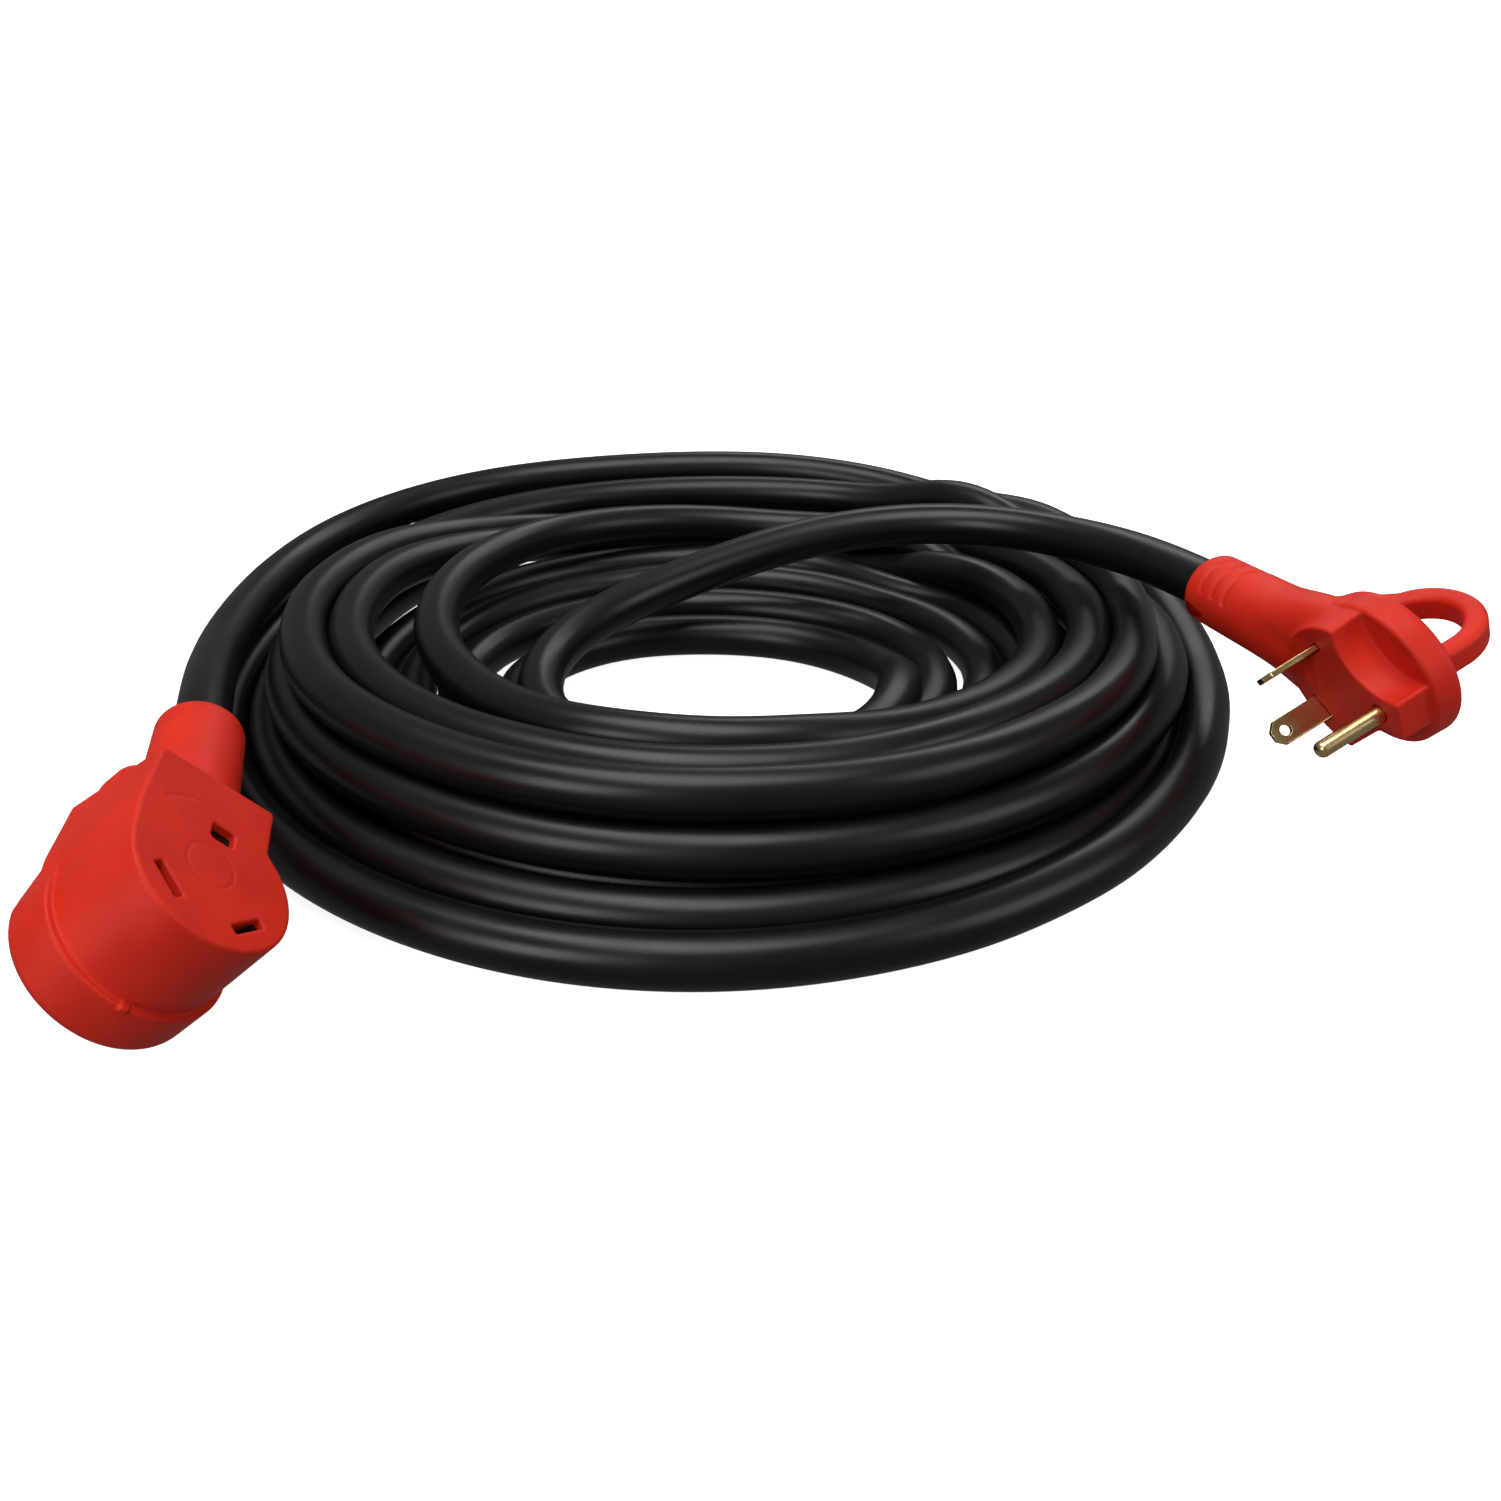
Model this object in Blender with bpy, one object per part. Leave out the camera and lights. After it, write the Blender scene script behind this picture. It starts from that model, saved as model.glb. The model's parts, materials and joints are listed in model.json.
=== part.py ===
"""Shore power extension cord, 30 A: a moulded angled connector and a moulded plug with a pull
handle, joined by about 9.7 m of round three-core cord that lies wound in a flat coil.

Metres, +Z up. The origin is on the floor below the middle of the whole part. The coil lies flat,
the connector stands at its front left and the plug is carried by the cord over its right side.
"""
import math

import bmesh
import bpy
from mathutils import Matrix, Vector
from mathutils.geometry import interpolate_bezier

# Cord
CORD_D = 0.0155            # 10/3 STW cord, about 0.61 in
CORD_R = CORD_D / 2
GAP = 0.0003               # clearance between pieces that touch
CENTRING = Vector((-0.00578, 0.00021, 0.0))   # brings the whole part's box over the origin

# The wound coil: a main ring of stacked turns and a low ring of its innermost loops
COIL_AT = Vector((-0.011, 0.014, 0.0))
COIL_OUT, COIL_IN = 0.1845, 0.108
COIL_STEP_R, COIL_STEP_H = 0.165, 0.0155    # the outermost turn lies alone
COIL_TOP_R, COIL_TOP_H = 0.150, 0.0335
INNER_AT = Vector((-0.012, -0.012, 0.0))
INNER_OUT, INNER_IN, INNER_H = 0.078, 0.032, 0.0155

# Pin pattern that the plug and the connector share, seen with the ground pole up
POLE_X, POLE_Y = 0.0106, -0.0102
GROUND_Y = 0.0132
BLADE_W, BLADE_T, BLADE_L = 0.0079, 0.0017, 0.0175
BLADE_HOLE_R = 0.0017
GROUND_R, GROUND_L = 0.0024, 0.0205
SLOT_CLEAR = 0.0003

# Connector: its face looks along CONN_FACE and its neck leaves along CONN_NECK
CONN_AT = Vector((-0.1231, -0.1719, 0.0418))
CONN_FACE = Vector((0.791, 0.122, 0.599))
CONN_NECK = Vector((-0.219, 0.971, 0.091))
CONN_R, CONN_RIM_R = 0.0218, 0.0227
CONN_RIM_Z, CONN_BACK_Z = -0.0247, -0.0393
PAD_X, PAD_HALF, PAD_TOP, PAD_BACK = -0.0035, 0.0168, 0.0328, -0.031
NECK_R, NECK_END = 0.0120, 0.082
NECK_Z0, NECK_Z1 = -0.0175, -0.0215         # the neck's axis, at the pad and at its end
HOUSING_TOP, HOUSING_HALF = 0.046, 0.0145   # where the housing behind the pad ends

# Plug: its pins point along PLUG_PINS, and the ground pin lies away from the cord
PLUG_AT = Vector((0.1657, -0.0986, 0.0500))
PLUG_PINS = Vector((-0.852, -0.310, -0.423))
PLUG_GROUND = Vector((0.326, -0.945, 0.037))
BLOCK_R, BLOCK_D = 0.0215, 0.0105
SCOOP_R, SCOOP_X, SCOOP_Y = 0.0166, 0.0223, 0.0157
DISC_R, DISC_BACK = 0.0228, -0.0190
GRIP_END, GRIP_R0, GRIP_R1 = -0.0655, 0.0102, 0.0125
GRIP_X0 = -0.0055          # the cord pulls the grip's end a little to one side
GRIP_Z0, GRIP_Z1 = -0.0074, -0.0112
HANDLE_T, HANDLE_Y, HANDLE_Z = 0.0086, -0.0038, -0.0302
HANDLE_OUT, HANDLE_IN = 0.0166, 0.0103

RED = (0.72, 0.045, 0.022)
BLACK = (0.011, 0.011, 0.012)
BRASS = (0.78, 0.60, 0.30)
INSERT = (0.10, 0.10, 0.11)


def clear_file():
    for obj in list(bpy.data.objects):
        bpy.data.objects.remove(obj, do_unlink=True)


def make_material(name, colour, roughness, metallic=0.0):
    mat = bpy.data.materials.new(name)
    mat.use_nodes = True
    mat.diffuse_color = (*colour, 1.0)
    shader = mat.node_tree.nodes["Principled BSDF"]
    shader.inputs["Base Color"].default_value = (*colour, 1.0)
    shader.inputs["Roughness"].default_value = roughness
    shader.inputs["Metallic"].default_value = metallic
    return mat


def place(obj, name, parent=None, material=None, cutter=False):
    """Puts an object in its collection, under its parent, with its material."""
    group = "cutters" if cutter else name
    col = bpy.data.collections.get(group) or bpy.data.collections.new(group)
    if col.name not in bpy.context.scene.collection.children:
        bpy.context.scene.collection.children.link(col)
    col.objects.link(obj)
    obj.parent = parent
    if material:
        obj.data.materials.append(material)
    if cutter:
        obj.hide_render = True
        obj.display_type = "WIRE"
    return obj


def mesh_object(name, bm, parent=None, material=None, cutter=False):
    bmesh.ops.recalc_face_normals(bm, faces=bm.faces)
    mesh = bpy.data.meshes.new(name)
    bm.to_mesh(mesh)
    bm.free()
    return place(bpy.data.objects.new(name, mesh), name, parent, material, cutter)


def tapered(radius0, radius1, start, end, sides=48, bevel0=0.0, bevel1=0.0):
    """A round bar or cone between two points, with its end edges rounded."""
    bm = bmesh.new()
    axis = Vector(end) - Vector(start)
    turn = Vector((0, 0, 1)).rotation_difference(axis).to_matrix().to_4x4()
    middle = (Vector(start) + Vector(end)) / 2
    made = bmesh.ops.create_cone(bm, cap_ends=True, segments=sides, radius1=radius0,
                                 radius2=radius1, depth=axis.length)
    low = [e for e in bm.edges if all(v.co.z < 0 for v in e.verts)]
    high = [e for e in bm.edges if all(v.co.z > 0 for v in e.verts)]
    for edges, width in ((low, bevel0), (high, bevel1)):
        if width:
            bmesh.ops.bevel(bm, geom=edges, offset=width, segments=3, profile=0.5,
                            affect="EDGES")
    bmesh.ops.transform(bm, matrix=Matrix.Translation(middle) @ turn, verts=bm.verts)
    return bm


def block(size, centre, turn_z=0.0, bevel=0.0):
    """A box, turned about its own vertical, with rounded edges where bevel is given."""
    bm = bmesh.new()
    bmesh.ops.create_cube(bm, size=1.0)
    bmesh.ops.scale(bm, vec=size, verts=bm.verts)
    if bevel:
        bmesh.ops.bevel(bm, geom=bm.edges[:], offset=bevel, segments=2, profile=0.5,
                        affect="EDGES")
    move = Matrix.Translation(centre) @ Matrix.Rotation(turn_z, 4, "Z")
    bmesh.ops.transform(bm, matrix=move, verts=bm.verts)
    return bm


def extruded(outline, thickness):
    """A plate in the YZ plane from its outline, as thick as stated and centred on X."""
    bm = bmesh.new()
    verts = [bm.verts.new((-thickness / 2, y, z)) for y, z in outline]
    face = bm.faces.new(verts)
    out = bmesh.ops.extrude_face_region(bm, geom=[face])
    moved = [v for v in out["geom"] if isinstance(v, bmesh.types.BMVert)]
    bmesh.ops.translate(bm, vec=(thickness, 0, 0), verts=moved)
    return bm


def arc(centre, radius, start, end, steps):
    """Points on an arc in the YZ plane, in degrees from +Y towards -Z."""
    for i in range(steps + 1):
        a = math.radians(start + (end - start) * i / steps)
        yield (centre[0] + radius * math.cos(a), centre[1] - radius * math.sin(a))


def boolean(target, tool, operation):
    mod = target.modifiers.new(f"{operation.lower()} {tool.name}"[:60], "BOOLEAN")
    mod.operation = operation
    mod.object = tool
    mod.solver = "EXACT"


def end_frame(name, at, face, up):
    """An empty whose +Z looks along a plug's or connector's face and whose +Y is up."""
    z = face.normalized()
    y = (up - z * up.dot(z)).normalized()
    x = y.cross(z)
    frame = bpy.data.objects.new(name, None)
    bpy.context.scene.collection.objects.link(frame)
    frame.matrix_world = (Matrix.Translation(at + CENTRING)
                          @ Matrix((x, y, z)).transposed().to_4x4())
    return frame


POLES = {                  # name: (x, y, turn about the face's axis)
    "line": (POLE_X, POLE_Y, math.radians(45)),
    "neutral": (-POLE_X, POLE_Y, math.radians(-45)),
}


def blade_slots(body, parent, label, width, thickness, z0, z1, ground_r):
    """Cuts the two blade slots and the ground hole through a body, from z0 to z1."""
    for pole, (x, y, turn) in POLES.items():
        tool = mesh_object(f"{label}_{pole}_slot",
                           block((width, thickness, z1 - z0), (x, y, (z0 + z1) / 2), turn),
                           parent, cutter=True)
        boolean(body, tool, "DIFFERENCE")
    tool = mesh_object(f"{label}_ground_slot",
                       tapered(ground_r, ground_r, (0, GROUND_Y, z0), (0, GROUND_Y, z1), 24),
                       parent, cutter=True)
    boolean(body, tool, "DIFFERENCE")


def turned_ring(name, at, profile, material, sides):
    """A closed ring: a half section on +X, given from top to bottom on its outer side."""
    bm = bmesh.new()
    verts = [bm.verts.new((x, 0, z)) for x, z in profile]
    edges = [bm.edges.new((a, b)) for a, b in zip(verts, verts[1:] + verts[:1])]
    bmesh.ops.spin(bm, geom=verts + edges, axis=(0, 0, 1), cent=(0, 0, 0), dvec=(0, 0, 0),
                   angle=math.tau, steps=sides, use_merge=True)
    ring = mesh_object(name, bm, None, material)
    ring.location = at + CENTRING
    return ring


def smooth_route(points, spacing):
    """Evenly spaced points on one smooth curve through the route's own points."""
    points = [Vector(p) for p in points]
    ends = [points[0] * 2 - points[1]] + points + [points[-1] * 2 - points[-2]]
    dense = []
    for a, b, c, d in zip(ends, ends[1:], ends[2:], ends[3:]):
        dense += interpolate_bezier(b, b + (c - a) / 6, c - (d - b) / 6, c, 24)[:-1]
    dense.append(points[-1])
    total = sum((q - p).length for p, q in zip(dense, dense[1:]))
    count = max(2, round(total / spacing))
    wanted, walked, out = [total * i / count for i in range(count + 1)], 0.0, [dense[0]]
    for p, q in zip(dense, dense[1:]):
        step = (q - p).length
        while len(out) <= count and step and walked + step >= wanted[len(out)] - 1e-9:
            out.append(p.lerp(q, min(1.0, (wanted[len(out)] - walked) / step)))
        walked += step
    out[-1] = dense[-1]
    return out


def cord_tube(name, points, radius, material=None, cutter=False, sides=3):
    """A round tube along a route, its ends filled; cutters are turned into a mesh."""
    curve = bpy.data.curves.new(name, "CURVE")
    curve.dimensions = "3D"
    curve.bevel_depth = radius
    curve.bevel_resolution = sides
    curve.use_fill_caps = True
    spline = curve.splines.new("POLY")
    route = smooth_route(points, 2.2 * CORD_D)
    spline.points.add(len(route) - 1)
    for point, co in zip(spline.points, route):
        point.co = (*(co + CENTRING), 1.0)
    tube = bpy.data.objects.new(name, curve)
    if cutter:
        mesh = bpy.data.meshes.new_from_object(tube)
        bpy.data.objects.remove(tube, do_unlink=True)
        bpy.data.curves.remove(curve)
        tube = bpy.data.objects.new(name, mesh)
    return place(tube, name, None, material, cutter)


def make_plug(red, brass, insert):
    frame = end_frame("plug_frame", PLUG_AT, PLUG_PINS, PLUG_GROUND)
    body = mesh_object("plug_body", tapered(DISC_R, DISC_R, (0, 0, DISC_BACK),
                                            (0, 0, -BLOCK_D), 56, 0.0018, 0.0008), frame, red)
    front = mesh_object("plug_front_block", tapered(BLOCK_R, BLOCK_R, (0, 0, -BLOCK_D - 0.002),
                                                    (0, 0, 0), 56, 0, 0.0006), frame,
                        cutter=True)
    for side in (1, -1):
        scoop = mesh_object(f"plug_scoop_{'left' if side > 0 else 'right'}",
                            tapered(SCOOP_R, SCOOP_R, (side * SCOOP_X, SCOOP_Y, -BLOCK_D - 0.001),
                                    (side * SCOOP_X, SCOOP_Y, 0.003), 48), frame, cutter=True)
        boolean(front, scoop, "DIFFERENCE")
    grip = mesh_object("plug_grip", tapered(GRIP_R0, GRIP_R1, (GRIP_X0, GRIP_END, GRIP_Z0),
                                            (0, -0.012, GRIP_Z1), 40, 0.0012), frame,
                       cutter=True)
    outline = [(HANDLE_Y + HANDLE_OUT, DISC_BACK + 0.003)]
    outline += arc((HANDLE_Y, HANDLE_Z), HANDLE_OUT, 0, 145, 20)
    outline += [(-0.0342, -0.0252), (-0.0437, -0.0195), (-0.0437, DISC_BACK + 0.0075),
                (-0.0095, DISC_BACK + 0.003)]
    handle = mesh_object("plug_handle", extruded(outline, HANDLE_T), frame, cutter=True)
    gap = [(HANDLE_Y + HANDLE_IN, DISC_BACK)] + list(arc((HANDLE_Y, HANDLE_Z), HANDLE_IN, 0, 180, 20))
    gap += [(HANDLE_Y - HANDLE_IN, DISC_BACK)]
    finger = mesh_object("plug_handle_gap", extruded(gap, HANDLE_T * 2), frame, cutter=True)
    boolean(handle, finger, "DIFFERENCE")
    for piece in (front, grip, handle):
        boolean(body, piece, "UNION")
    pocket = mesh_object("plug_pocket", tapered(0.0173, 0.0173, (0, 0, -0.0175), (0, 0, -0.0122)),
                         frame, cutter=True)
    boolean(body, pocket, "DIFFERENCE")
    blade_slots(body, frame, "plug", BLADE_W + 2 * SLOT_CLEAR, BLADE_T + 2 * SLOT_CLEAR,
                -0.0145, 0.002, GROUND_R + SLOT_CLEAR)

    bridge = mesh_object("plug_bridge", tapered(0.0170, 0.0170, (0, 0, -0.0172), (0, 0, -0.0125)),
                         frame, insert)
    blade_slots(bridge, frame, "plug_bridge", BLADE_W + 2 * SLOT_CLEAR,
                BLADE_T + 2 * SLOT_CLEAR, -0.0195, -0.011, GROUND_R + SLOT_CLEAR)
    for pole, (x, y, turn) in POLES.items():
        blade = mesh_object(f"plug_blade_{pole}", blade_shape(), frame, brass)
        blade.location = (x, y, 0)
        blade.rotation_euler = (0, 0, turn)
        hole = mesh_object(f"plug_blade_{pole}_hole",
                           tapered(BLADE_HOLE_R, BLADE_HOLE_R, (0, -0.003, BLADE_L - 0.0042),
                                   (0, 0.003, BLADE_L - 0.0042), 20), blade, cutter=True)
        boolean(blade, hole, "DIFFERENCE")
    mesh_object("plug_pin_ground", tapered(GROUND_R, GROUND_R, (0, GROUND_Y, -0.0170),
                                           (0, GROUND_Y, GROUND_L), 24, 0, 0.0018),
                frame, brass)


def blade_shape():
    """A flat blade along +Z with its two free corners cut back."""
    cut, half = 0.0024, BLADE_W / 2
    outline = [(-half, -0.0170), (half, -0.0170), (half, BLADE_L - cut), (half - cut, BLADE_L),
               (cut - half, BLADE_L), (-half, BLADE_L - cut)]
    bm = extruded(outline, BLADE_T)
    bmesh.ops.rotate(bm, matrix=Matrix.Rotation(math.radians(90), 3, "Z"), verts=bm.verts)
    return bm


def make_connector(red, brass, insert):
    frame = end_frame("connector_frame", CONN_AT, CONN_FACE, CONN_NECK)
    body = mesh_object("connector_body", tapered(CONN_R, CONN_R, (0, 0, CONN_RIM_Z - 0.002),
                                                 (0, 0, 0), 56, 0, 0.0008), frame, red)
    rim = mesh_object("connector_rim", tapered(CONN_RIM_R, CONN_RIM_R, (0, 0, CONN_BACK_Z),
                                               (0, 0, CONN_RIM_Z), 56, 0.0025, 0.0005), frame,
                      cutter=True)
    pad = mesh_object("connector_pad", block((2 * PAD_HALF, PAD_TOP, -PAD_BACK),
                                             (PAD_X, PAD_TOP / 2, PAD_BACK / 2 - 0.00002),
                                             bevel=0.0008), frame, cutter=True)
    neck = mesh_object("connector_neck", tapered(NECK_R, NECK_R, (0, 0.018, NECK_Z0),
                                                 (0, NECK_END, NECK_Z1), 40, 0, 0.002), frame,
                       cutter=True)
    outline = [(-0.0219, 0.004), (0.0219, 0.004), (HOUSING_HALF, HOUSING_TOP),
               (-HOUSING_HALF, HOUSING_TOP)]
    bm = extruded(outline, 0.0100)
    bmesh.ops.rotate(bm, matrix=Matrix.Rotation(math.radians(-90), 3, "Y"), verts=bm.verts)
    bmesh.ops.rotate(bm, matrix=Matrix.Rotation(math.radians(-90), 3, "Z"), verts=bm.verts)
    bmesh.ops.translate(bm, vec=(0, 0, -0.0302), verts=bm.verts)
    housing = mesh_object("connector_housing", bm, frame, cutter=True)
    for piece in (rim, pad, neck, housing):
        boolean(body, piece, "UNION")
    pocket = mesh_object("connector_pocket", tapered(0.0189, 0.0189, (0, 0, -0.0263),
                                                     (0, 0, -0.0025)), frame, cutter=True)
    boolean(body, pocket, "DIFFERENCE")
    blade_slots(body, frame, "connector", 0.0094, 0.0024, -0.006, 0.002, 0.0031)

    carrier = mesh_object("connector_carrier", tapered(0.0186, 0.0186, (0, 0, -0.0260),
                                                       (0, 0, -0.0028)), frame, insert)
    blade_slots(carrier, frame, "connector_carrier", 0.0092, 0.0048, -0.0223, 0.0, 0.0039)
    for pole, (x, y, turn) in POLES.items():
        clip = mesh_object(f"connector_contact_{pole}", block((0.0086, 0.0042, 0.0189),
                                                              (0, 0, -0.01255)), frame, brass)
        clip.location = (x, y, 0)
        clip.rotation_euler = (0, 0, turn)
        mouth = mesh_object(f"connector_contact_{pole}_mouth",
                            block((0.0120, 0.0022, 0.0200), (0, 0, -0.0105)), clip, cutter=True)
        boolean(clip, mouth, "DIFFERENCE")
    sleeve = mesh_object("connector_contact_ground",
                         tapered(0.0036, 0.0036, (0, GROUND_Y, -0.0220), (0, GROUND_Y, -0.0031), 28),
                         frame, brass)
    bore = mesh_object("connector_contact_ground_bore",
                       tapered(0.0026, 0.0026, (0, GROUND_Y, -0.0205), (0, GROUND_Y, 0.001), 28),
                       frame, cutter=True)
    boolean(sleeve, bore, "DIFFERENCE")


# Routes of the uncoiled cord, before CENTRING
LEAD_ROUTE = [(-0.1585, -0.0935, 0.0364), (-0.1613, -0.0835, 0.0368), (-0.1680, -0.0660, 0.0350),
              (-0.1745, -0.0480, 0.0322), (-0.1798, -0.0280, 0.0298), (-0.1850, 0.0000, 0.0274),
              (-0.1876, 0.0280, 0.0258), (-0.1868, 0.0500, 0.0249), (-0.1830, 0.0720, 0.0242),
              (-0.1740, 0.0960, 0.0225), (-0.1600, 0.1150, 0.0205)]
TAIL_ROUTE = [(0.1479, -0.0338, 0.0557), (0.1443, -0.0262, 0.0559), (0.1413, -0.0170, 0.0553),
              (0.1379, -0.0076, 0.0543), (0.1345, 0.0025, 0.0533), (0.1300, 0.0125, 0.0520),
              (0.1205, 0.0285, 0.0500), (0.1087, 0.0392, 0.0490), (0.0960, 0.0464, 0.0482),
              (0.0774, 0.0509, 0.0475), (0.0582, 0.0517, 0.0460), (0.0388, 0.0516, 0.0440),
              (0.0192, 0.0473, 0.0415), (-0.0002, 0.0391, 0.0385), (-0.0169, 0.0305, 0.0350),
              (-0.0407, 0.0132, 0.0290), (-0.0568, -0.0093, 0.0265), (-0.0690, -0.0270, 0.0250),
              (-0.0820, -0.0480, 0.0248), (-0.0940, -0.0690, 0.0248)]


def make_cord(black):
    for name, route in (("cord_lead", LEAD_ROUTE), ("cord_tail", TAIL_ROUTE)):
        cord_tube(name, route, CORD_R, black)
        further = Vector(route[-1]) * 2 - Vector(route[-2])
        reach = (further - Vector(route[-1])).normalized() * GAP
        cord_tube(f"{name}_clearance", [*route[:-1], Vector(route[-1]) + reach],
                  CORD_R + 2 * GAP, cutter=True)
    profile = [(COIL_OUT - 0.005, COIL_STEP_H), (COIL_OUT - 0.001, 0.0120), (COIL_OUT, 0.0078),
               (COIL_OUT - 0.001, 0.0036), (COIL_OUT - 0.004, 0.0), (COIL_IN + 0.003, 0.0),
               (COIL_IN, 0.004), (COIL_IN, COIL_TOP_H - 0.006), (COIL_IN + 0.005, COIL_TOP_H),
               (COIL_TOP_R, COIL_TOP_H), (COIL_STEP_R - 0.003, 0.0255),
               (COIL_STEP_R, COIL_STEP_H)]
    ring = turned_ring("cord_coil", COIL_AT, profile, black, 80)
    for name in ("cord_lead_clearance", "cord_tail_clearance"):
        boolean(ring, bpy.data.objects[name], "DIFFERENCE")
    profile = [(INNER_OUT - 0.003, INNER_H), (INNER_OUT, 0.0078), (INNER_OUT - 0.003, 0.0),
               (INNER_IN + 0.003, 0.0), (INNER_IN, 0.0078), (INNER_IN + 0.003, INNER_H)]
    turned_ring("cord_coil_inner", INNER_AT, profile, black, 56)


def main():
    clear_file()
    red = make_material("red moulded vinyl", RED, 0.38)
    black = make_material("black cord jacket", BLACK, 0.45)
    brass = make_material("brass", BRASS, 0.28, 1.0)
    insert = make_material("insert plastic", INSERT, 0.55)
    make_cord(black)
    make_plug(red, brass, insert)
    make_connector(red, brass, insert)


main()
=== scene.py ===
import json
import math

import bmesh
import bpy
import numpy as np
from mathutils import Matrix, Vector

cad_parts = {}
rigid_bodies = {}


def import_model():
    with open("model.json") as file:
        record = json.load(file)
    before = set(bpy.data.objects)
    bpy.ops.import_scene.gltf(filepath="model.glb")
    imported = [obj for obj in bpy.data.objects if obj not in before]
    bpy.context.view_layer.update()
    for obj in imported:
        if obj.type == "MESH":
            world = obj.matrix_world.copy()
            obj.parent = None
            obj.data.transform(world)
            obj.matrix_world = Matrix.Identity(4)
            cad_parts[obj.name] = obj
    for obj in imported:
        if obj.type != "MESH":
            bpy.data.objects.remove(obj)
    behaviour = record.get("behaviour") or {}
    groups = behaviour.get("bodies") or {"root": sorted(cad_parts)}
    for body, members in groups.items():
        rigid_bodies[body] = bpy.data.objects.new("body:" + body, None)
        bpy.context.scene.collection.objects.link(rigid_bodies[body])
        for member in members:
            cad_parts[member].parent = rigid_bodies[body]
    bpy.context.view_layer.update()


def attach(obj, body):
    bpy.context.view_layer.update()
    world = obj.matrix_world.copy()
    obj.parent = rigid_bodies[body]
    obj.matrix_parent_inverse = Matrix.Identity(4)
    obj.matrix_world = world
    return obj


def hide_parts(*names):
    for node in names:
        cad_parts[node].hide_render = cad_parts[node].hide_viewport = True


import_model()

# Sizes in metres, in the CAD frame
CORD_D = 0.0155
CORD_R = CORD_D / 2
SHIFT = Vector((-0.00578, 0.00021, 0.0))    # the whole part's box is centred on the origin

CONN_AT = Vector((-0.1231, -0.1719, 0.0418))
CONN_FACE = Vector((0.791, 0.122, 0.599))
CONN_NECK = Vector((-0.219, 0.971, 0.091))
PLUG_AT = Vector((0.1657, -0.0986, 0.0500))
PLUG_PINS = Vector((-0.852, -0.310, -0.423))
PLUG_GROUND = Vector((0.326, -0.945, 0.037))


def frame_of(at, face, up):
    """Matrix whose +Z looks along a moulding's face and whose +Y is up."""
    z = face.normalized()
    y = (up - z * up.dot(z)).normalized()
    x = y.cross(z)
    return Matrix.Translation(at + SHIFT) @ Matrix((x, y, z)).transposed().to_4x4()


CONN = frame_of(CONN_AT, CONN_FACE, CONN_NECK)
PLUG = frame_of(PLUG_AT, PLUG_PINS, PLUG_GROUND)


# ---------------------------------------------------------------- camera, floor and light
CAMERA_BACK, CAMERA_UP, CAMERA_PITCH = 0.396, 0.206, 30.4
LENS, SENSOR = 28.78, 36.0
CLIP_START = 0.01
FLOOR_HALF, FLOOR_DROP = 30.0, 0.0002
FLOOR_SHADE, FLOOR_GLOW = 0.85, 0.90
SKY, SKY_SEEN = 0.17, 1.1     # what the background lights, and how bright it looks
AIM = Vector((0, 0, 0.02))
LAMPS = (    # name, place, size, power
    ("top", (-0.15, -0.10, 1.0), (0.8, 0.5), 6.5),
    ("left", (-0.7, -1.0, 0.60), (0.5, 0.6), 5.0),
    ("right", (0.95, -0.55, 0.70), (0.6, 0.6), 3.0),
    ("back", (0.35, 1.0, 0.80), (1.0, 0.25), 3.0),
)


def make_stage():
    cam = bpy.data.objects.new("camera", bpy.data.cameras.new("camera"))
    bpy.context.scene.collection.objects.link(cam)
    cam.data.lens, cam.data.sensor_width = LENS, SENSOR
    cam.data.clip_start = CLIP_START
    cam.location = Vector((0, -CAMERA_BACK, CAMERA_UP)) + SHIFT
    cam.rotation_euler = (math.radians(90 - CAMERA_PITCH), 0, 0)
    bpy.context.scene.camera = cam

    bm = bmesh.new()
    bmesh.ops.create_grid(bm, x_segments=1, y_segments=1, size=FLOOR_HALF)
    mesh = bpy.data.meshes.new("floor")
    bm.to_mesh(mesh)
    bm.free()
    floor = bpy.data.objects.new("floor", mesh)
    floor.location.z = -FLOOR_DROP
    bpy.context.scene.collection.objects.link(floor)
    # The pale floor shows shadows but throws no light back up, as under a cut-out
    floor.visible_diffuse = floor.visible_glossy = False
    mat = bpy.data.materials.new("floor")
    mat.use_nodes = True
    shader = mat.node_tree.nodes["Principled BSDF"]
    shader.inputs["Base Color"].default_value = (*[FLOOR_SHADE] * 3, 1)
    shader.inputs["Roughness"].default_value = 1.0
    shader.inputs["Specular IOR Level"].default_value = 0.0
    shader.inputs["Emission Color"].default_value = (1, 1, 1, 1)
    shader.inputs["Emission Strength"].default_value = FLOOR_GLOW
    mesh.materials.append(mat)

    world = bpy.data.worlds.new("studio")
    world.use_nodes = True
    nodes, links = world.node_tree.nodes, world.node_tree.links
    back = nodes["Background"]
    back.inputs["Color"].default_value = (1, 1, 1, 1)
    seen = nodes.new("ShaderNodeLightPath")
    level = nodes.new("ShaderNodeMapRange")
    level.inputs["To Min"].default_value, level.inputs["To Max"].default_value = SKY, SKY_SEEN
    links.new(seen.outputs["Is Camera Ray"], level.inputs["Value"])
    links.new(level.outputs["Result"], back.inputs["Strength"])
    bpy.context.scene.world = world
    for name, at, size, power in LAMPS:
        lamp = bpy.data.objects.new(name, bpy.data.lights.new(name, "AREA"))
        bpy.context.scene.collection.objects.link(lamp)
        lamp.data.shape = "RECTANGLE"
        lamp.data.size, lamp.data.size_y = size
        lamp.data.energy = power
        lamp.location = at
        lamp.rotation_euler = (AIM - Vector(at)).to_track_quat("-Z", "Y").to_euler()
    bpy.context.scene.view_settings.view_transform = "Standard"


make_stage()


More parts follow.
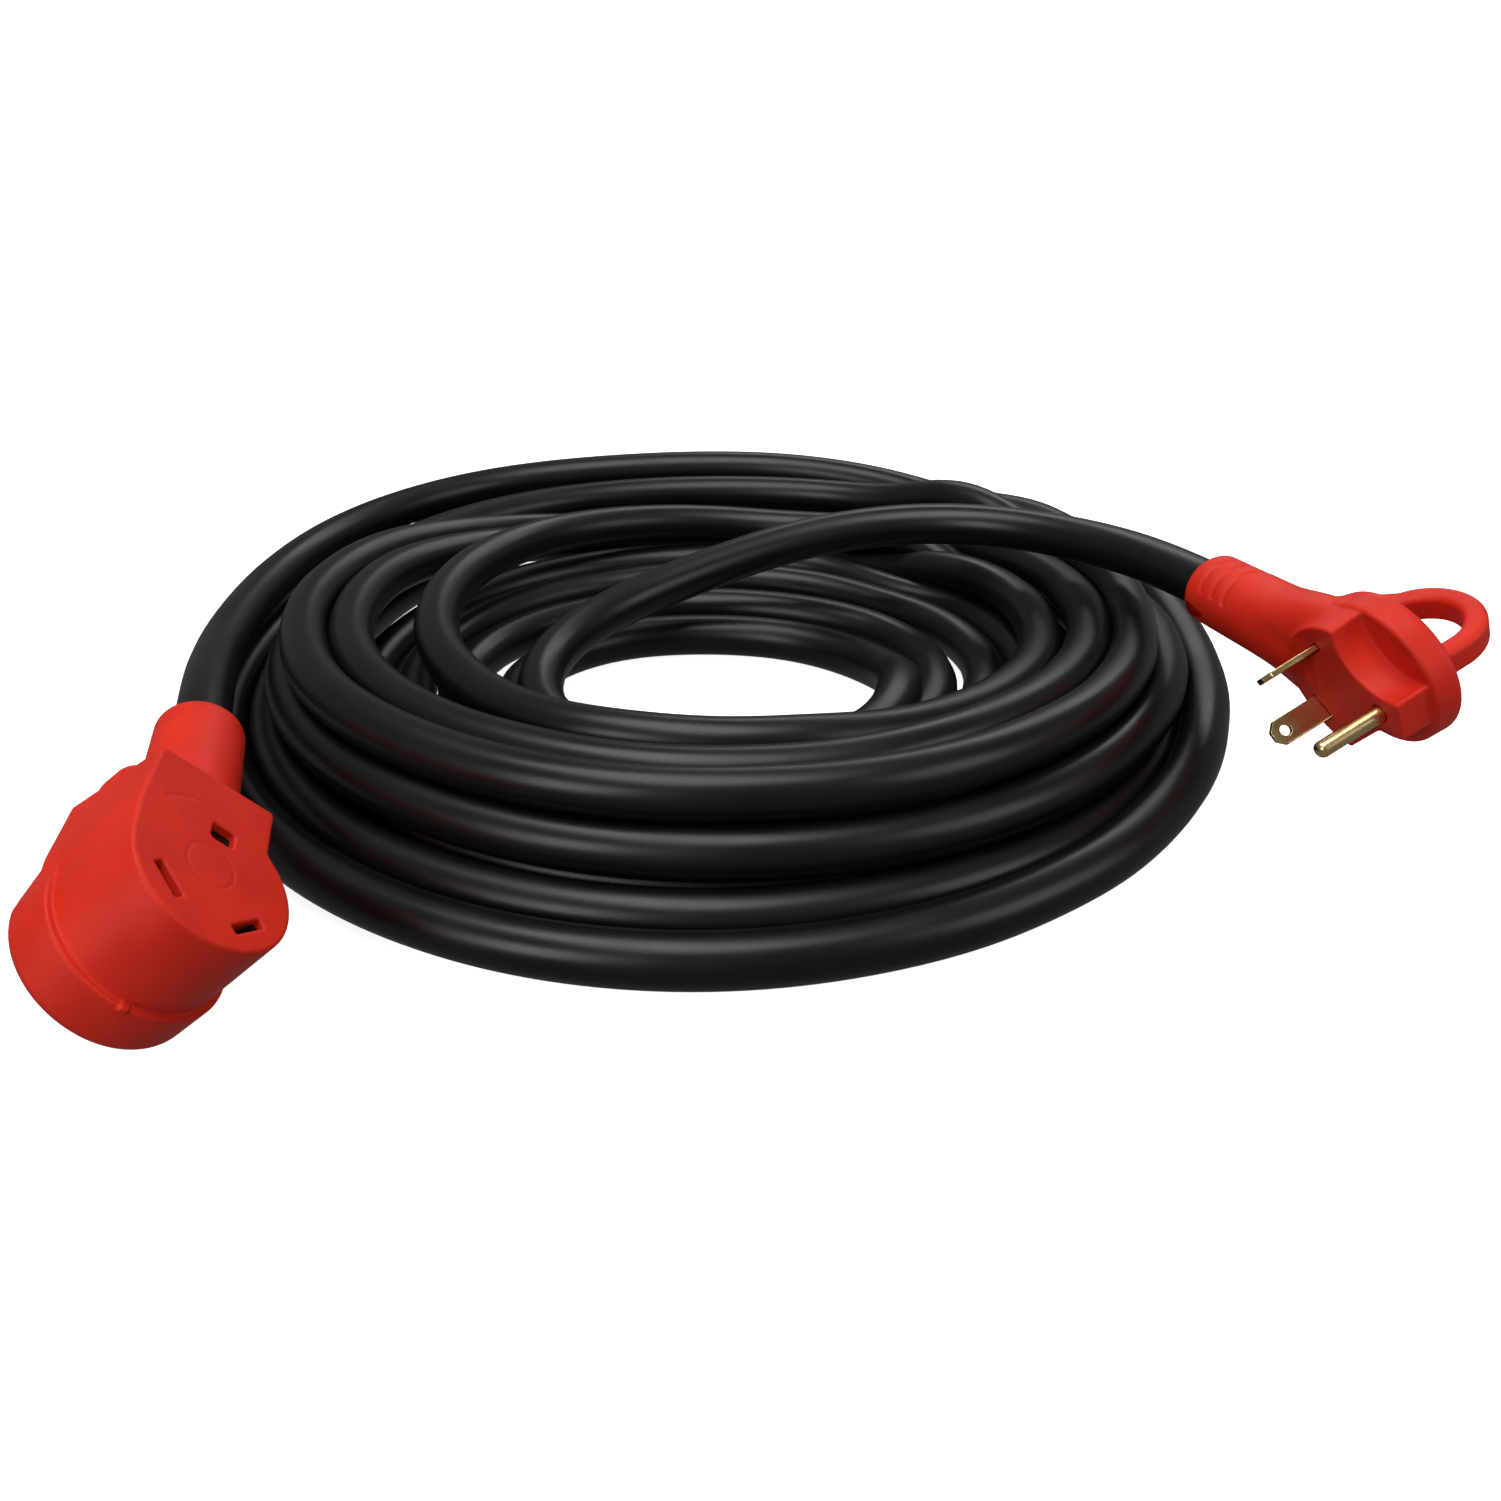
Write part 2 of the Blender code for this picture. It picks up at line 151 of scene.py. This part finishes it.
# ---------------------------------------------------------------- materials
def new_material(name, colour, roughness, metallic=0.0, specular=0.5):
    mat = bpy.data.materials.new(name)
    mat.use_nodes = True
    shader = mat.node_tree.nodes["Principled BSDF"]
    shader.inputs["Base Color"].default_value = (*colour, 1)
    shader.inputs["Roughness"].default_value = roughness
    shader.inputs["Metallic"].default_value = metallic
    shader.inputs["Specular IOR Level"].default_value = specular
    return mat


def vary(mat, scale, dark, light, rough, bump_scale, bump_depth, stretch=(1, 1, 1)):
    """Procedural unevenness: colour between two shades, roughness between two, fine bumps."""
    nodes, links = mat.node_tree.nodes, mat.node_tree.links
    shader = nodes["Principled BSDF"]
    place = nodes.new("ShaderNodeTexCoord")
    mapped = nodes.new("ShaderNodeMapping")
    mapped.inputs["Scale"].default_value = stretch
    links.new(place.outputs["Object"], mapped.inputs["Vector"])
    broad = nodes.new("ShaderNodeTexNoise")
    broad.inputs["Scale"].default_value, broad.inputs["Detail"].default_value = scale, 5.0
    links.new(mapped.outputs["Vector"], broad.inputs["Vector"])
    shade = nodes.new("ShaderNodeValToRGB")
    shade.color_ramp.elements[0].position, shade.color_ramp.elements[1].position = 0.3, 0.7
    shade.color_ramp.elements[0].color = (*dark, 1)
    shade.color_ramp.elements[1].color = (*light, 1)
    links.new(broad.outputs["Fac"], shade.inputs["Fac"])
    links.new(shade.outputs["Color"], shader.inputs["Base Color"])
    dull = nodes.new("ShaderNodeMapRange")
    dull.inputs["From Min"].default_value, dull.inputs["From Max"].default_value = 0.3, 0.7
    dull.inputs["To Min"].default_value, dull.inputs["To Max"].default_value = rough
    links.new(broad.outputs["Fac"], dull.inputs["Value"])
    links.new(dull.outputs["Result"], shader.inputs["Roughness"])
    fine = nodes.new("ShaderNodeTexNoise")
    fine.inputs["Scale"].default_value, fine.inputs["Detail"].default_value = bump_scale, 3.0
    links.new(mapped.outputs["Vector"], fine.inputs["Vector"])
    bump = nodes.new("ShaderNodeBump")
    bump.inputs["Strength"].default_value = 1.0
    bump.inputs["Distance"].default_value = bump_depth
    links.new(fine.outputs["Fac"], bump.inputs["Height"])
    links.new(bump.outputs["Normal"], shader.inputs["Normal"])
    return mat


RED = vary(new_material("red_vinyl", (0.70, 0.024, 0.009), 0.5, 0.0, 0.25), 55.0,
           (0.65, 0.020, 0.007), (0.75, 0.028, 0.011), (0.45, 0.56), 900.0, 0.00005)
BLACK = vary(new_material("cord_jacket", (0.0036, 0.0034, 0.0040), 0.34, 0.0, 0.36), 30.0,
             (0.0030, 0.0028, 0.0034), (0.0044, 0.0041, 0.0048), (0.30, 0.40), 1400.0, 0.00002)
BRASS = vary(new_material("brass", (0.80, 0.58, 0.27), 0.24, 1.0), 260.0,
             (0.68, 0.46, 0.19), (0.86, 0.66, 0.34), (0.18, 0.34), 1500.0, 0.00003, (1, 1, 0.15))
INSERT = vary(new_material("insert_plastic", (0.02, 0.02, 0.022), 0.6), 80.0,
              (0.016, 0.016, 0.018), (0.024, 0.024, 0.027), (0.55, 0.66), 1000.0, 0.00005)


# ---------------------------------------------------------------- the cord's route
# Turns of the coil, outermost first. Each has its distance from the coil's middle and its
# height where it passes the left, the back, the right and the front, in millimetres.
COIL_MIDDLE = (-7.0, 9.0)
FLOOR = 7.75
TURNS = [
    ((181, 25), (168.5, 29.8), (167, 17), (173, FLOOR)),
    ((179, FLOOR), (182, 8), (157, 8), (157, 9)),
    ((167, FLOOR), (167, 8), (142, 8), (141, FLOOR)),
    ((150, 8), (151, 8), (155, 20), (147, 22.5)),
    ((158, 21.5), (152, 22), (144, 30.5), (139, 36)),
    ((150, 35), (135, 8), (132, 30), (124, 34)),
    ((136, 33), (119, 8), (113, 23.5), (112, 32.5)),
    ((106, 33), (109, 22), (125, 8), (126, 8)),
    ((132, 8), (101, 8), (111, 8), (112, 8)),
    ((116, 8), (78, 8), (96, 8), (97, 8)),
    ((102, 8), (50, 8), (82, 8), (83, 8)),
    ((89, 8), (23, 8), (68, 11), (107, 20)),
]
# Uncoiled stretches, in metres: the lead and outermost turn from the connector round to the
# back, and the tail that crosses the coil on its way to the plug
LEAD_ROUTE = [(-0.1613, -0.0835, 0.0368), (-0.1680, -0.0660, 0.0350), (-0.1745, -0.0480, 0.0322),
              (-0.1798, -0.0300, 0.0300), (-0.1850, 0.0000, 0.0274), (-0.1878, 0.0280, 0.0258),
              (-0.1881, 0.0500, 0.0250), (-0.1857, 0.0719, 0.0245), (-0.1799, 0.0949, 0.0245),
              (-0.1680, 0.1187, 0.0250), (-0.1457, 0.1436, 0.0260), (-0.1180, 0.1616, 0.0270),
              (-0.0880, 0.1705, 0.0280), (-0.0532, 0.1759, 0.0290), (-0.0244, 0.1776, 0.0295),
              (0.0044, 0.1770, 0.0295), (0.0327, 0.1710, 0.0290), (0.0596, 0.1585, 0.0280),
              (0.0840, 0.1400, 0.0260)]
TAIL_ROUTE = [(-0.0322, -0.0963, 0.0220), (-0.0509, -0.0855, 0.0235), (-0.0647, -0.0690, 0.0240),
              (-0.0721, -0.0488, 0.0240), (-0.0721, -0.0272, 0.0245), (-0.0647, -0.0070, 0.0260),
              (-0.0490, 0.0120, 0.0290), (-0.0169, 0.0305, 0.0350), (-0.0002, 0.0391, 0.0385),
              (0.0192, 0.0473, 0.0415), (0.0388, 0.0516, 0.0440), (0.0582, 0.0520, 0.0460),
              (0.0774, 0.0497, 0.0475), (0.0940, 0.0440, 0.0482), (0.1080, 0.0355, 0.0490),
              (0.1200, 0.0240, 0.0502), (0.1300, 0.0105, 0.0520), (0.1379, -0.0076, 0.0543),
              (0.1413, -0.0170, 0.0553)]
SPACING = 0.009                 # between the route's points while it settles
PIN_LEAD, PIN_TAIL = 48, 38     # route points at each end that settling leaves alone
ROUNDS = 260
BEND = 0.066                    # settling works against any bend tighter than this
BULGE, BULGE_FADE = 16, 16      # millimetres, and quarter turns


def smooth(values, at):
    """Monotone cubic through evenly spaced values, read at each place."""
    y = np.asarray(values, float)
    d = np.diff(y)
    m = np.zeros(len(y))
    both = d[:-1] * d[1:]
    m[1:-1] = np.where(both > 0, 2 * both / np.where(both > 0, d[:-1] + d[1:], 1), 0.0)
    at = np.clip(at, 0, len(y) - 1)
    i = np.minimum(at.astype(int), len(y) - 2)
    t = at - i
    h = 2 * t**3 - 3 * t**2 + 1
    return (h * y[i] + (1 - h) * y[i + 1] + (t**3 - 2 * t**2 + t) * m[i]
            + (t**3 - t**2) * m[i + 1])


def coil_path(steps=24):
    """The turns as one line: left, back, right, front, and so on inwards."""
    knots = [k for turn in TURNS for k in turn]
    u = np.arange((len(knots) - 1) * steps + 1) / steps
    side = [smooth([k[0] for k in knots[j::4]], (u - j) / 4) for j in range(4)]
    height = smooth([k[1] for k in knots], u)
    angle = math.pi - u * math.pi / 2
    left, right = COIL_MIDDLE[0] - side[0], COIL_MIDDLE[0] + side[2]
    back, front = COIL_MIDDLE[1] + side[1], COIL_MIDDLE[1] - side[3]
    # At the back left the outer turns bulge, to follow the lead that lies on them
    bulge = BULGE * np.exp(-u / BULGE_FADE) * np.where(u % 4 < 1, np.sin(2 * angle) ** 2, 0)
    x = (left + right) / 2 + ((right - left) / 2 + bulge) * np.cos(angle)
    y = (back + front) / 2 + ((back - front) / 2 + bulge) * np.sin(angle)
    return np.stack([x, y, height], 1) / 1000


def spline_through(points, steps=12):
    """Smooth curve through points, a few millimetres apart or more (Catmull-Rom)."""
    p = np.asarray(points, float)
    p = np.vstack([2 * p[0] - p[1], p, 2 * p[-1] - p[-2]])
    a, b, c, d = p[:-3, None], p[1:-2, None], p[2:-1, None], p[3:, None]
    t = (np.arange(steps) / steps)[None, :, None]
    out = 0.5 * (2 * b + (c - a) * t + (2 * a - 5 * b + 4 * c - d) * t**2
                 + (3 * b - a - 3 * c + d) * t**3)
    return np.vstack([out.reshape(-1, 3), p[-2]])


def evenly(path, spacing):
    walked = np.r_[0, np.cumsum(np.linalg.norm(np.diff(path, axis=0), axis=1))]
    want = np.linspace(0, walked[-1], int(round(walked[-1] / spacing)) + 1)
    return np.stack([np.interp(want, walked, path[:, i]) for i in range(3)], 1)


def blur(path, rounds):
    """Evens out the joins between the stretches, without moving the two ends."""
    for _ in range(rounds):
        path = path.copy()
        path[1:-1] = (path[:-2] + 2 * path[1:-1] + path[2:]) / 4
    return path


def settle(path, skip=6):
    """Lets the strands push each other apart until they only touch, at a fixed length.

    Points up to skip places apart are the same strand and don't push each other.
    """
    start, now = path.copy(), path.copy()
    count = len(path)
    step = np.linalg.norm(np.diff(path, axis=0), axis=1).mean()
    free = np.ones((count, 1))
    free[:PIN_LEAD] = free[-PIN_TAIL:] = 0
    index = np.arange(count)
    for r in range(ROUNDS):
        if r % 10 == 0:             # find the neighbours again
            gap = np.linalg.norm(now[:, None] - now[None], axis=2)
            i, j = np.nonzero((gap < 1.6 * CORD_D) & (index[None] - index[:, None] > skip))
        apart = now[i] - now[j]
        dist = np.maximum(np.linalg.norm(apart, axis=1, keepdims=True), 1e-6)
        push = np.maximum(CORD_D - dist, 0) / dist * apart * 0.25
        move = np.zeros_like(now)
        for axis in range(3):
            move[:, axis] = (np.bincount(i, push[:, axis], count)
                             - np.bincount(j, push[:, axis], count))
        now += free * np.clip(move, -0.0015, 0.0015)
        calm = now.copy()
        calm[2:-2] = (4 * now[1:-3] + 4 * now[3:-1] - now[:-4] - now[4:]) / 6
        now += free * 0.25 * (calm - now)
        sag = (now[:-2] + now[2:]) / 2 - now[1:-1]
        size = np.maximum(np.linalg.norm(sag, axis=1, keepdims=True), 1e-9)
        now[1:-1] += free[1:-1] * np.maximum(1 - step**2 / 2 / BEND / size, 0) * sag
        run = now[1:] - now[:-1]
        length = np.linalg.norm(run, axis=1, keepdims=True)
        pull = 0.25 * (length - step) / length * run
        now[:-1] += pull * free[:-1]
        now[1:] -= pull * free[1:]
        now += free * 0.012 * (start - now)
        now[:, 2] = np.maximum(now[:, 2], CORD_R)
    return now


def moulding_end(matrix, axis, at):
    """A point on the axis of a neck or grip, before SHIFT. axis is its two end points."""
    a, b = Vector(axis[0]), Vector(axis[1])
    return tuple(matrix @ a.lerp(b, (at - a.y) / (b.y - a.y)) - SHIFT)


NECK_AXIS = ((0, 0.018, -0.0175), (0, 0.082, -0.0215))            # in the connector's frame
GRIP_AXIS = ((0, -0.012, -0.0112), (-0.0055, -0.0655, -0.0074))   # and in the plug's


def cord_route():
    coil = coil_path()
    first = np.linalg.norm(coil[:60] - np.array(LEAD_ROUTE[-1]), axis=1).argmin() + 10
    lead = [moulding_end(CONN, NECK_AXIS, at) for at in (0.0765, 0.0830, 0.0880)]
    tail = [moulding_end(PLUG, GRIP_AXIS, at) for at in (-0.0740, -0.0670, -0.0600)]
    lead = spline_through(lead + LEAD_ROUTE + [coil[first], coil[first + 8]])
    tail = spline_through([coil[-9], coil[-1]] + TAIL_ROUTE + tail)
    whole = np.vstack([lead[:-12], coil[first + 1:-9], tail[12:]])
    whole = blur(evenly(whole, SPACING), 10)
    whole = settle(evenly(whole, SPACING))
    return spline_through(whole, 2) + np.array(SHIFT)


def make_cord(route):
    curve = bpy.data.curves.new("cord", "CURVE")
    curve.dimensions = "3D"
    curve.bevel_depth = 1.0     # times each point's own radius
    curve.bevel_resolution = 6
    curve.use_fill_caps = True
    spline = curve.splines.new("POLY")
    spline.points.add(len(route) - 1)
    spline.points.foreach_set("co", np.c_[route, np.ones(len(route))].ravel())
    spline.points.foreach_set("radius", np.full(len(route), CORD_R))
    spline.use_smooth = True
    cord = bpy.data.objects.new("cord", curve)
    bpy.context.scene.collection.objects.link(cord)
    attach(cord, "root")
    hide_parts("cord_coil", "cord_coil_inner", "cord_lead", "cord_tail")
    curve.materials.append(BLACK)
    return cord


cord = make_cord(cord_route())


# ---------------------------------------------------------------- mouldings as solid fields
# A field gives, for points in millimetres, how far each lies outside the solid.
def meet(a, b, r):
    """What is in both solids, its edge rounded."""
    u, v = a + r, b + r
    return np.hypot(np.maximum(u, 0), np.maximum(v, 0)) + np.minimum(np.maximum(u, v), 0) - r


def join(a, b, r):
    """What is in either solid, with a fillet where they meet."""
    return -meet(-a, -b, r)


def cut(a, b, r):
    return meet(a, -b, r)


def drum(p, z0, z1, r0, r1, low, high, at=(0, 0)):
    """A round bar along Z; its radius goes from r0 to r1, its end edges are rounded."""
    x, y, z = p
    t = (z - z0) / (z1 - z0)
    side = np.hypot(x - at[0], y - at[1]) - (r0 + (r1 - r0) * np.clip(t, 0, 1))
    return meet(meet(side, z - z1, high), z0 - z, low)


def bar(p, y0, y1, z0, z1, r0, r1, e0, e1, x0=0.0, x1=0.0):
    """A round bar along Y, y0 < y1, between two centres and radii."""
    x, y, z = p
    t = (y - y0) / (y1 - y0)
    side = (np.hypot(x - (x0 + (x1 - x0) * t), z - (z0 + (z1 - z0) * t))
            - (r0 + (r1 - r0) * np.clip(t, 0, 1)))
    return meet(meet(side, y - y1, e1), y0 - y, e0)


def brick(p, half, at, r, turn=0.0):
    """A box turned about Z, with edges of radius r."""
    x, y = p[0] - at[0], p[1] - at[1]
    c, s = math.cos(turn), math.sin(turn)
    q = [np.abs(c * x + s * y) - half[0] + r, np.abs(c * y - s * x) - half[1] + r,
         np.abs(p[2] - at[2]) - half[2] + r]
    out = np.sqrt(sum(np.maximum(v, 0) ** 2 for v in q))
    return out + np.minimum(np.maximum(np.maximum(q[0], q[1]), q[2]), 0) - r


def seg(u, v, u0, v0, u1, v1, r0, r1):
    """A tapered slot shape between two circles in a plane."""
    du, dv = u1 - u0, v1 - v0
    t = np.clip(((u - u0) * du + (v - v0) * dv) / (du * du + dv * dv), 0, 1)
    return np.hypot(u - u0 - t * du, v - v0 - t * dv) - (r0 + (r1 - r0) * t)


def skin(name, field, low, high, cell):
    """A closed mesh on a field's surface, from a grid of cells; lengths in millimetres."""
    axes = [np.arange(l, h + cell, cell) for l, h in zip(low, high)]
    full = np.stack([field(np.meshgrid([x], axes[1], axes[2], indexing="ij"))[0] < 0
                     for x in axes[0]])
    held = sum(full[i:full.shape[0] - 1 + i, j:full.shape[1] - 1 + j, k:full.shape[2] - 1 + k]
               .astype(np.int8) for i in (0, 1) for j in (0, 1) for k in (0, 1))
    crossed = (held > 0) & (held < 8)
    number = np.full(held.shape, -1)
    number[crossed] = np.arange(crossed.sum())
    cells = np.argwhere(crossed)
    points = np.stack([axes[i][cells[:, i]] + cell / 2 for i in range(3)], 1)
    faces = []
    for axis in range(3):
        here = np.moveaxis(full, axis, 0)
        num = np.moveaxis(number, axis, 0)
        change = here[1:, 1:-1, 1:-1] != here[:-1, 1:-1, 1:-1]
        at = np.argwhere(change)
        a, b, c = at[:, 0], at[:, 1] + 1, at[:, 2] + 1
        quad = np.stack([num[a, b - 1, c - 1], num[a, b, c - 1], num[a, b, c],
                         num[a, b - 1, c]], 1)
        flip = here[a, b, c] if axis != 1 else ~here[a, b, c]
        faces.append(np.where(flip[:, None], quad, quad[:, ::-1]))
    faces = np.vstack(faces)
    for _ in range(5):                      # walk each corner on to the surface
        value = field(points.T)
        slope = np.stack([field((points + np.eye(3)[i] * 0.02).T)
                          - field((points - np.eye(3)[i] * 0.02).T) for i in range(3)], 1) / 0.04
        size = np.maximum((slope**2).sum(1, keepdims=True), 0.2)
        points = points - np.clip(value[:, None] * slope / size, -0.4 * cell, 0.4 * cell)
    mesh = bpy.data.meshes.new(name)
    mesh.vertices.add(len(points))
    mesh.vertices.foreach_set("co", (points / 1000).ravel())
    mesh.loops.add(faces.size)
    mesh.loops.foreach_set("vertex_index", faces.ravel())
    mesh.polygons.add(len(faces))
    mesh.polygons.foreach_set("loop_start", np.arange(len(faces)) * 4)
    mesh.update(calc_edges=True)
    mesh.validate()
    bm = bmesh.new()
    bm.from_mesh(mesh)
    bmesh.ops.recalc_face_normals(bm, faces=bm.faces)
    bm.to_mesh(mesh)
    bm.free()
    mesh.polygons.foreach_set("use_smooth", np.ones(len(mesh.polygons), bool))
    mesh.update()
    return mesh


def add_piece(name, mesh, matrix, material, slot, *nodes):
    piece = bpy.data.objects.new(name, mesh)
    bpy.context.scene.collection.objects.link(piece)
    piece.matrix_world = matrix
    mesh.materials.append(material)
    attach(piece, "root")
    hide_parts(*nodes)
    return piece


CELL, FINE = ((0.42, 0.22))
POLES = ((10.6, -10.2, math.radians(45)), (-10.6, -10.2, math.radians(-45)))
GROUND_Y = 13.2


# The connector, in millimetres. Solids that end on the face run on to ABOVE and are cut there.
ABOVE = 4.0
FACE_R, HEAD_R, HEAD_BACK = 21.5, 22.3, -27.0
RIM_R, RIM_FRONT, RIM_BACK = 24.1, -24.7, -39.3
HOUSING_R, HOUSING_AT = 16.0, (-1.5, 44.0)
PAD_RIGHT, PAD_TOP, PAD_BACK, PAD_LOW = 13.2, 33.0, -31.0, -8.0
NECK_R0, NECK_R1 = 12.9, 12.0
SOCKET_R = 8.05                 # the cord's bed in the neck
POCKET_R, POCKET_BACK, POCKET_FRONT = 18.9, -26.3, -2.5


def connector_field(p):
    x, y, z = p
    head = drum(p, HEAD_BACK, ABOVE, HEAD_R, FACE_R, 0.1, 0.1)
    # Behind it the housing runs on towards the neck, its back sloping up
    drop = seg(x, y, 0, 0, *HOUSING_AT, RIM_R, HOUSING_R)
    back = RIM_BACK + 0.13 * np.clip(y - 4, 0, 60)
    rim = meet(meet(drop, z - RIM_FRONT, 0.7), back - z, 3.6)
    # The pad carries the face up to the neck; its left edge runs into the face's circle
    lean = -0.10 * (z + 2)
    s = np.clip((y + 5) / 18, 0, 1)
    s = s * s * (3 - 2 * s)
    out = FACE_R + 0.026 * (ABOVE - z) - 0.5
    out = out + s * (1.5 - 0.085 * np.maximum(y - 6, 0) + lean * 0.4)
    left = np.where(y > 0, -x, np.hypot(x, y)) - out
    right = x - (PAD_RIGHT + lean * 0.9)
    top = y - (PAD_TOP + 0.085 * x + lean)
    pad = meet(meet(left, right, 1.5), top, 1.6)
    pad = np.maximum(meet(pad, PAD_BACK - z, 1.0), z - ABOVE)
    pad = np.maximum(pad, PAD_LOW - y)
    neck = bar(p, 18.0, 82.0, -17.5, -21.5, NECK_R0, NECK_R1, 0.5, 5.5)
    body = join(head, pad, 0.8)
    body = join(body, neck, 2.2)
    body = join(body, rim, 0.6)
    body = meet(body, z, 0.9)
    # A faint step where the face's circle crosses the pad, and the plain round mark
    ring = np.abs(np.hypot(x, y) - 22.0)
    groove = np.maximum(ring - 0.3, np.maximum(-0.15 - z, 15.0 - y))
    body = cut(body, groove, 0.1)
    mark = np.abs(np.hypot(x + 1.6, y - 1.5) - 6.4)
    body = cut(body, np.maximum(mark - 0.25, -0.12 - z), 0.1)
    # The small gate mark on the rim's step
    body = join(body, brick(p, (1.1, 1.1, 0.9), (0.5, -23.6, -25.0), 0.4), 0.4)
    # The cord's socket, the carrier's pocket, the two slots and the ground hole
    body = cut(body, bar(p, 75.0, 90.0, -21.1, -22.0, SOCKET_R, SOCKET_R, 0.2, 0.2), 0.5)
    body = cut(body, drum(p, POCKET_BACK, POCKET_FRONT, POCKET_R, POCKET_R, 0.1, 0.1), 0.1)
    for px, py, turn in POLES:
        body = cut(body, brick(p, (4.8, 1.3, 6.0), (px, py, 0), 0.3, turn), 0.3)
    return cut(body, brick(p, (3.2, 2.7, 6.0), (0, GROUND_Y + 0.6, 0), 1.1), 0.3)


# The plug. Its outside is laid out at the size the pin pattern gives, then drawn a little smaller.
PLUG_SCALE = 0.95
GRIP_Y0, GRIP_Y1 = -69.0, -12.0
GRIP_X = -5.8                   # the grip leans this far to the side at its end
GRIP_R = 12.7
GROOVES, GROOVE_R, GROOVE_HALF = (7.0, 12.0, 17.0), 1.15, 0.72   # millimetres, and radians
SCOOP_R, SCOOP_AT = 17.4, (23.5, 16.5)


def plug_field(p):
    q = x, y, z = [v / PLUG_SCALE for v in p]
    disc = drum(q, -20.0, -10.6, 24.0, 23.6, 2.6, 1.2)
    block = drum(q, -13.0, 4.0, 23.2, 22.2, 0.1, 0.1)
    for side in (1, -1):
        scoop = np.hypot(x - side * (SCOOP_AT[0] - 0.04 * z), y - SCOOP_AT[1]) - SCOOP_R
        block = cut(block, scoop, 0.9)
    block = meet(meet(block, y - 21.6, 1.2), z, 0.8)
    # The grip, round at the cord and flaring to the full width of the disc
    grip = bar(q, GRIP_Y0, GRIP_Y1, -7.8, -11.6, 11.8, 12.8, 3.4, 3.0, GRIP_X, 0.0)
    t = np.clip((y + 46) / 36, 0, 1)
    t = t * t * (3 - 2 * t)
    wide, deep = 11.4 + 9.6 * t, 11.0 - 0.6 * t
    across = (np.abs(x + 3.4 * (1 - t)) / wide) ** 2.4 + (np.abs(z + 9.6 + 0.8 * t) / deep) ** 2.4
    flare = (across ** (1 / 2.4) - 1) * deep
    flare = meet(meet(flare, y + 8, 3.0), -52 - y, 3.0)
    body = join(disc, block, 0.8)
    body = join(body, join(grip, flare, 0.8), 1.6)
    body = join(body, handle_field(q), 2.2)
    # Three grooves round each flank of the grip, near the cord
    along = y - GRIP_Y0
    middle = GRIP_X + along * 0.102
    flank = np.abs(np.arctan2(np.abs(x - middle), z + 8.2) - math.radians(80))
    around = np.hypot(x - middle, z + 7.8 + along * 0.067)
    for at in GROOVES:
        bend = along - at - 1.8 * (flank / 0.9) ** 2
        groove = np.hypot(bend, around - GRIP_R) - GROOVE_R
        body = cut(body, np.maximum(groove, (flank - GROOVE_HALF) * 11), 0.5)
    body = cut(body, bar(q, -75.0, -62.5, -7.4, -8.2, 8.5, 8.5, 0.2, 0.2, -6.4, -5.1), 0.6)
    body = body * PLUG_SCALE
    body = cut(body, drum(p, -17.5, -12.2, 17.3, 17.3, 0.1, 0.1), 0.1)
    for px, py, turn in POLES:
        body = cut(body, brick(p, (4.25, 1.15, 16.0), (px, py, 0), 0.1, turn), 0.1)
    return cut(body, drum(p, -14.5, 5.0, 2.7, 2.7, 0.1, 0.1, (0, GROUND_Y)), 0.1)


def handle_field(q):
    """The pull loop behind the disc: a flat band in the plane of the cord."""
    x, y, z = q
    u, v = y + 4.0, z + 31.8
    loop = np.hypot(u, v) - 17.4
    heel = seg(y, z, -4.0, -31.8, -31.0, -22.0, 16.8, 6.0)
    stem = brick((y, z, np.zeros_like(z)), (17.4, 8.0, 9), (-4.0, -24.0, 0), 2.0)
    solid = np.minimum(np.minimum(loop, heel), stem)
    hole = np.hypot(u, v) - 11.0
    hole = np.minimum(hole, brick((y, z, np.zeros_like(z)), (11.0, 6.4, 9), (-4.0, -26.4, 0), 1.0))
    return cut(meet(solid, np.abs(x) - 4.5, 2.0), hole, 2.0)


BLADE_L, BLADE_HALF, BLADE_T = 17.5, 3.95, 0.85     # its half thickness last
BLADE_TIP, HOLE_BACK, HOLE_R = 2.4, 4.2, 1.7
PIN_R, PIN_L, PIN_ROUND = 2.4, 20.5, 1.9
TAIL_END = -17.0


def blade_field(p):
    x, y, z = p
    tip = (np.abs(x) - BLADE_HALF + z - BLADE_L + BLADE_TIP) / math.sqrt(2)
    shape = meet(meet(np.abs(x) - BLADE_HALF, z - BLADE_L, 0.25), tip, 0.25)
    shape = np.maximum(shape, TAIL_END - z)
    shape = meet(shape, np.abs(y) - BLADE_T, 0.22)
    return cut(shape, np.hypot(x, z - BLADE_L + HOLE_BACK) - HOLE_R, 0.2)


def pin_field(p):
    return drum(p, TAIL_END, PIN_L, PIN_R, PIN_R, 0.1, PIN_ROUND, (0, GROUND_Y))


connector = add_piece("connector", skin("connector", connector_field, (-26, -26, -42),
                                        (26, 85, 3), CELL), CONN, RED, "red", "connector_body")
plug = add_piece("plug", skin("plug", plug_field, (-26, -70, -50), (26, 26, 3), CELL), PLUG,
                 RED, "red", "plug_body")
for pole, (px, py, turn) in zip(("line", "neutral"), POLES):
    place = PLUG @ Matrix.Translation((px / 1000, py / 1000, 0)) @ Matrix.Rotation(turn, 4, "Z")
    mesh = skin(f"blade_{pole}", blade_field, (-5, -1.8, -18), (5, 1.8, 19), FINE)
    add_piece(f"blade_{pole}", mesh, place, BRASS, "brass", f"plug_blade_{pole}")
mesh = skin("pin_ground", pin_field, (-3.4, GROUND_Y - 3.4, -18), (3.4, GROUND_Y + 3.4, 22), FINE)
add_piece("pin_ground", mesh, PLUG, BRASS, "brass", "plug_pin_ground")

for obj in bpy.data.objects:
    if obj.name.startswith("connector_contact"):
        for slot in obj.material_slots:
            slot.material = BRASS
    elif obj.name in ("connector_carrier", "plug_bridge"):
        for slot in obj.material_slots:
            slot.material = INSERT
